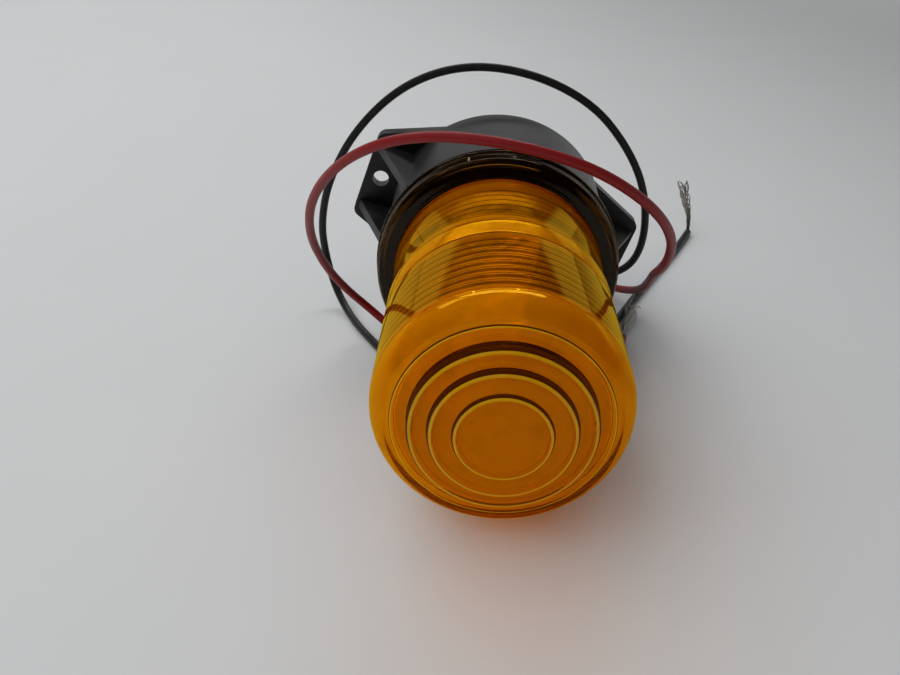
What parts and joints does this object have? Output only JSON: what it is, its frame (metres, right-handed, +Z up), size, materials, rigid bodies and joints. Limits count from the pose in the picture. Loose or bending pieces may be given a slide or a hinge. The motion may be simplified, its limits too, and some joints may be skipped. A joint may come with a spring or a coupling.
{
  "type": "rotating beacon",
  "caption": "Flange-mounted rotating beacon with a screw-on ribbed amber jar lens, a geared reflector round a bayonet bulb, and two bare-ended leads, lying on its side.",
  "frame": {"origin": "centre of the flat mounting face, on the beacon's axis; the beacon lies on its side with the axis level", "axes": "+Y out of the mounting face along the beacon's axis, so the lens points to -Y; +Z up from the surface it lies on; +X to the right seen from the lens end"},
  "size_m": [0.1356, 0.1858, 0.0917],
  "materials": {
    "black_plastic": "fine moulded black plastic",
    "black_rubber": "matt black rubber",
    "plated_steel": "zinc-plated sheet steel",
    "screw_steel": "bright plated",
    "motor_steel": "drawn steel",
    "motor_plastic": "moulded",
    "tinned_brass": "tinned",
    "ceramic": "dipped ceramic disc",
    "nylon": "natural nylon",
    "spring_steel": "spring steel",
    "brass": "machined or pressed",
    "red_pvc": "satin wire insulation",
    "black_pvc": "satin wire insulation",
    "tinned_copper": "tinned strands",
    "fibre": "vulcanised fibre",
    "black_glass": "fused glass",
    "solder": "solder",
    "clear_glass": "clear glass",
    "tungsten": "tungsten wire",
    "white_acetal": "natural acetal",
    "bronze": "sintered bronze",
    "mirror_finish": "vacuum-metallised",
    "amber_lens": "transparent amber polycarbonate, gloss"
  },
  "bodies": {
    "base": {"base_housing": "black_plastic", "lead_grommet": "black_rubber", "chassis_plate": "plated_steel", "chassis_screws": "screw_steel", "motor_can": "motor_steel", "motor_screws": "screw_steel", "motor_end_cap": "motor_plastic", "motor_terminals": "tinned_brass", "suppressor_capacitor": "ceramic", "thrust_washer": "nylon", "retaining_clip": "spring_steel", "lamp_holder": "brass", "contact_spring": "spring_steel", "earth_tag": "tinned_brass", "motor_feed_wire": "red_pvc", "motor_return_wire": "black_pvc", "lamp_feed_wire": "red_pvc", "earth_wire": "black_pvc", "red_lead": "red_pvc", "black_lead": "black_pvc", "red_lead_strands": "tinned_copper", "black_lead_strands": "tinned_copper"},
    "centre_contact": {"contact_insulator": "fibre", "contact_plunger": "brass"},
    "bulb": {"bulb_cap": "brass", "bulb_insulator": "black_glass", "bulb_contact": "solder", "bulb_glass": "clear_glass", "bulb_filament": "tungsten"},
    "pinion_shaft": {"motor_shaft": "motor_steel", "pinion": "brass"},
    "rotor": {"drive_gear": "white_acetal", "rotor_bush": "bronze", "reflector_carrier": "plated_steel", "carrier_screws": "screw_steel", "reflector": "mirror_finish", "reflector_rivet": "plated_steel"},
    "gasket": {"lens_gasket": "black_rubber"},
    "lens": {"lens": "amber_lens"}
  },
  "joints": [
    {"name": "reflector_spin", "type": "hinge", "parent": "base", "child": "rotor", "pos_m": [0, -0.045, 0], "axis": [0, -1, 0], "continuous": true},
    {"name": "motor_spin", "type": "hinge", "parent": "base", "child": "pinion_shaft", "pos_m": [0.01568, -0.045, -0.00602], "axis": [0, -1, 0], "continuous": true},
    {"name": "contact_push", "type": "slide", "parent": "base", "child": "centre_contact", "axis": [0, 1, 0], "range_m": [0, 0.0015], "stiffness_N_per_m": 1200, "springref_m": -0.0015, "deforming": ["contact_spring", "lamp_feed_wire"]},
    {"name": "bulb_turn", "type": "hinge", "parent": "centre_contact", "child": "bulb", "pos_m": [0, -0.055, 0], "axis": [0, -1, 0], "range_deg": [0, 25]},
    {"name": "lens_lift", "type": "slide", "parent": "base", "child": "gasket", "axis": [0, -1, 0], "range_m": [0, 0.005]},
    {"name": "lens_turn", "type": "hinge", "parent": "gasket", "child": "lens", "pos_m": [0, -0.045, 0], "axis": [0, -1, 0], "range_deg": [0, 450]}
  ],
  "couplings": [
    {"joint": "motor_spin", "follows": "reflector_spin", "ratio": -3.8},
    {"joint": "lens_lift", "follows": "lens_turn", "m_per_rad": 0.00063662}
  ]
}
